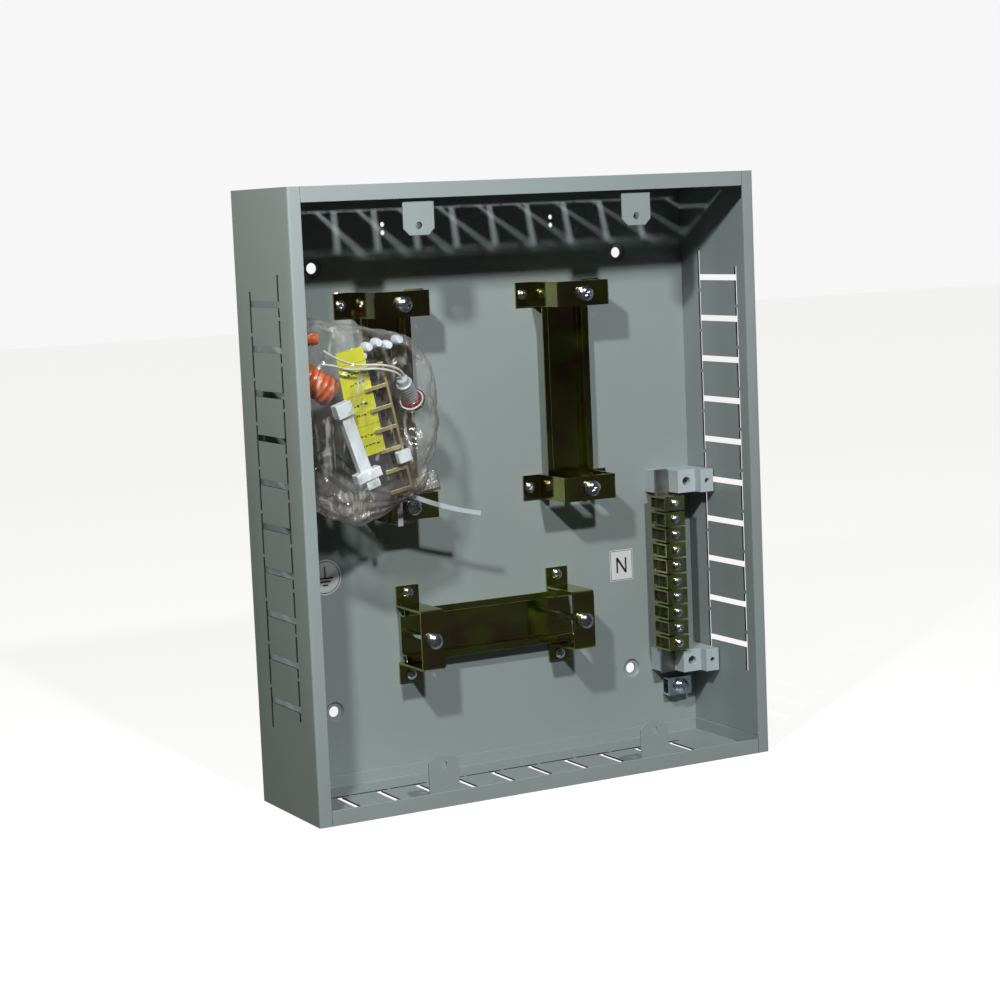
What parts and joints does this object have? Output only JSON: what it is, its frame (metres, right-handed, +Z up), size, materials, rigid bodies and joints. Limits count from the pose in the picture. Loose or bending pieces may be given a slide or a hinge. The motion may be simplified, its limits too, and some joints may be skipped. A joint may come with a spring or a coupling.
{
  "type": "subpanel enclosure",
  "caption": "Open-fronted wall enclosure with knockout walls, adjustable mounting rails on bridge brackets, a neutral bar, an earth clamp and a tied bag of fittings.",
  "frame": {"origin": "middle of the bounding box at the outer face of the bottom cap", "axes": "+X to the right seen from the open front, +Y from the open front towards the wall, +Z up"},
  "size_m": [0.33, 0.09, 0.387],
  "materials": {
    "paint": "grey-green powder coat, fine texture",
    "yellow_zinc": "mirror-bright yellow chromate on zinc",
    "bright_zinc": "bright zinc",
    "blue_zinc": "bright zinc with a blue cast",
    "clamp_zinc": "iridescent yellow chromate",
    "bar_metal": "dull plated steel",
    "white_plastic": "gloss",
    "black_plastic": "translucent black, gloss",
    "white_label": "satin printed film",
    "yellow_label": "satin printed film",
    "clear_film": "clear thin film, creased",
    "nylon": "milky, slightly translucent",
    "chrome": "polished",
    "lamp_grey": "satin",
    "red_lens": "deep red, gloss",
    "white_wire": "satin insulation",
    "green_wire": "satin insulation",
    "orange_plastic": "satin",
    "brass": "bright"
  },
  "bodies": {
    "box": {"body_shell": "paint", "top_cap": "paint", "bottom_cap": "paint", "cover_tab_top_left": "paint", "cover_tab_top_right": "paint", "cover_tab_bottom_left": "paint", "cover_tab_bottom_right": "paint", "bracket_left_top": "yellow_zinc", "bracket_left_bottom": "yellow_zinc", "bracket_right_top": "yellow_zinc", "bracket_right_bottom": "yellow_zinc", "bracket_lower_left": "yellow_zinc", "bracket_lower_right": "yellow_zinc", "adjuster_washers": "bright_zinc", "adjuster_lock_washers": "bright_zinc", "bracket_foot_screws": "bright_zinc", "neutral_bar": "bar_metal", "neutral_support_top": "white_plastic", "neutral_support_bottom": "white_plastic", "neutral_support_screws": "bright_zinc", "neutral_clamps": "clamp_zinc", "earth_clamp": "blue_zinc", "neutral_label": "white_label", "earth_label": "white_label", "accessory_bag": "clear_film", "bag_tie": "nylon", "lamp_bezel": "chrome", "lamp_body": "lamp_grey", "lamp_lens": "red_lens", "lamp_leads": "white_wire", "strip_block": "black_plastic", "strip_comb": "brass", "strip_label": "yellow_label", "spare_supports": "white_plastic", "spare_spacers": "nylon", "wall_plugs": "orange_plastic", "earth_lead": "green_wire"},
    "rail_left": {"rail_left": "yellow_zinc", "rail_left_nuts": "bright_zinc"},
    "rail_right": {"rail_right": "yellow_zinc", "rail_right_nuts": "bright_zinc"},
    "rail_lower": {"rail_lower": "yellow_zinc", "rail_lower_nuts": "bright_zinc"},
    "screw_left_top": {"screw_left_top": "bright_zinc"},
    "screw_left_bottom": {"screw_left_bottom": "bright_zinc"},
    "screw_right_top": {"screw_right_top": "bright_zinc"},
    "screw_right_bottom": {"screw_right_bottom": "bright_zinc"},
    "screw_lower_left": {"screw_lower_left": "bright_zinc"},
    "screw_lower_right": {"screw_lower_right": "bright_zinc"},
    "neutral_screw_1": {"neutral_screw_1": "blue_zinc"},
    "neutral_screw_2": {"neutral_screw_2": "blue_zinc"},
    "neutral_screw_3": {"neutral_screw_3": "blue_zinc"},
    "neutral_screw_4": {"neutral_screw_4": "blue_zinc"},
    "neutral_screw_5": {"neutral_screw_5": "blue_zinc"},
    "neutral_screw_6": {"neutral_screw_6": "blue_zinc"},
    "neutral_screw_7": {"neutral_screw_7": "blue_zinc"},
    "neutral_screw_8": {"neutral_screw_8": "blue_zinc"},
    "neutral_screw_9": {"neutral_screw_9": "blue_zinc"},
    "neutral_screw_10": {"neutral_screw_10": "blue_zinc"},
    "earth_clamp_screw": {"earth_clamp_screw": "blue_zinc"}
  },
  "joints": [
    {"name": "move_rail_left", "type": "slide", "parent": "box", "child": "rail_left", "axis": [0, -1, 0], "range_m": [0, 0.021]},
    {"name": "turn_screw_left_top", "type": "hinge", "parent": "box", "child": "screw_left_top", "pos_m": [-0.0677, 0, 0.3119], "axis": [0, -1, 0], "range_deg": [-20, 9540]},
    {"name": "turn_screw_left_bottom", "type": "hinge", "parent": "box", "child": "screw_left_bottom", "pos_m": [-0.0677, 0, 0.1833], "axis": [0, -1, 0], "range_deg": [-20, 9540]},
    {"name": "move_rail_right", "type": "slide", "parent": "box", "child": "rail_right", "axis": [0, -1, 0], "range_m": [0, 0.021]},
    {"name": "turn_screw_right_top", "type": "hinge", "parent": "box", "child": "screw_right_top", "pos_m": [0.0644, 0, 0.3119], "axis": [0, -1, 0], "range_deg": [-20, 9540]},
    {"name": "turn_screw_right_bottom", "type": "hinge", "parent": "box", "child": "screw_right_bottom", "pos_m": [0.0644, 0, 0.1833], "axis": [0, -1, 0], "range_deg": [-20, 9540]},
    {"name": "move_rail_lower", "type": "slide", "parent": "box", "child": "rail_lower", "axis": [0, -1, 0], "range_m": [0, 0.021]},
    {"name": "turn_screw_lower_left", "type": "hinge", "parent": "box", "child": "screw_lower_left", "pos_m": [-0.0572, 0, 0.0957], "axis": [0, -1, 0], "range_deg": [-20, 9540]},
    {"name": "turn_screw_lower_right", "type": "hinge", "parent": "box", "child": "screw_lower_right", "pos_m": [0.0552, 0, 0.0957], "axis": [0, -1, 0], "range_deg": [-20, 9540]},
    {"name": "open_neutral_screw_1", "type": "slide", "parent": "box", "child": "neutral_screw_1", "axis": [0, -1, 0], "range_m": [0, 0.008]},
    {"name": "open_neutral_screw_2", "type": "slide", "parent": "box", "child": "neutral_screw_2", "axis": [0, -1, 0], "range_m": [0, 0.008]},
    {"name": "open_neutral_screw_3", "type": "slide", "parent": "box", "child": "neutral_screw_3", "axis": [0, -1, 0], "range_m": [0, 0.008]},
    {"name": "open_neutral_screw_4", "type": "slide", "parent": "box", "child": "neutral_screw_4", "axis": [0, -1, 0], "range_m": [0, 0.008]},
    {"name": "open_neutral_screw_5", "type": "slide", "parent": "box", "child": "neutral_screw_5", "axis": [0, -1, 0], "range_m": [0, 0.008]},
    {"name": "open_neutral_screw_6", "type": "slide", "parent": "box", "child": "neutral_screw_6", "axis": [0, -1, 0], "range_m": [0, 0.008]},
    {"name": "open_neutral_screw_7", "type": "slide", "parent": "box", "child": "neutral_screw_7", "axis": [0, -1, 0], "range_m": [0, 0.008]},
    {"name": "open_neutral_screw_8", "type": "slide", "parent": "box", "child": "neutral_screw_8", "axis": [0, -1, 0], "range_m": [0, 0.008]},
    {"name": "open_neutral_screw_9", "type": "slide", "parent": "box", "child": "neutral_screw_9", "axis": [0, -1, 0], "range_m": [0, 0.008]},
    {"name": "open_neutral_screw_10", "type": "slide", "parent": "box", "child": "neutral_screw_10", "axis": [0, -1, 0], "range_m": [0, 0.008]},
    {"name": "open_earth_screw", "type": "slide", "parent": "box", "child": "earth_clamp_screw", "axis": [0, -1, 0], "range_m": [0, 0.004]}
  ],
  "couplings": [
    {"joint": "turn_screw_left_top", "follows": "move_rail_left", "rad_per_m": 7854},
    {"joint": "turn_screw_left_bottom", "follows": "move_rail_left", "rad_per_m": 7854},
    {"joint": "turn_screw_right_top", "follows": "move_rail_right", "rad_per_m": 7854},
    {"joint": "turn_screw_right_bottom", "follows": "move_rail_right", "rad_per_m": 7854},
    {"joint": "turn_screw_lower_left", "follows": "move_rail_lower", "rad_per_m": 7854},
    {"joint": "turn_screw_lower_right", "follows": "move_rail_lower", "rad_per_m": 7854}
  ]
}
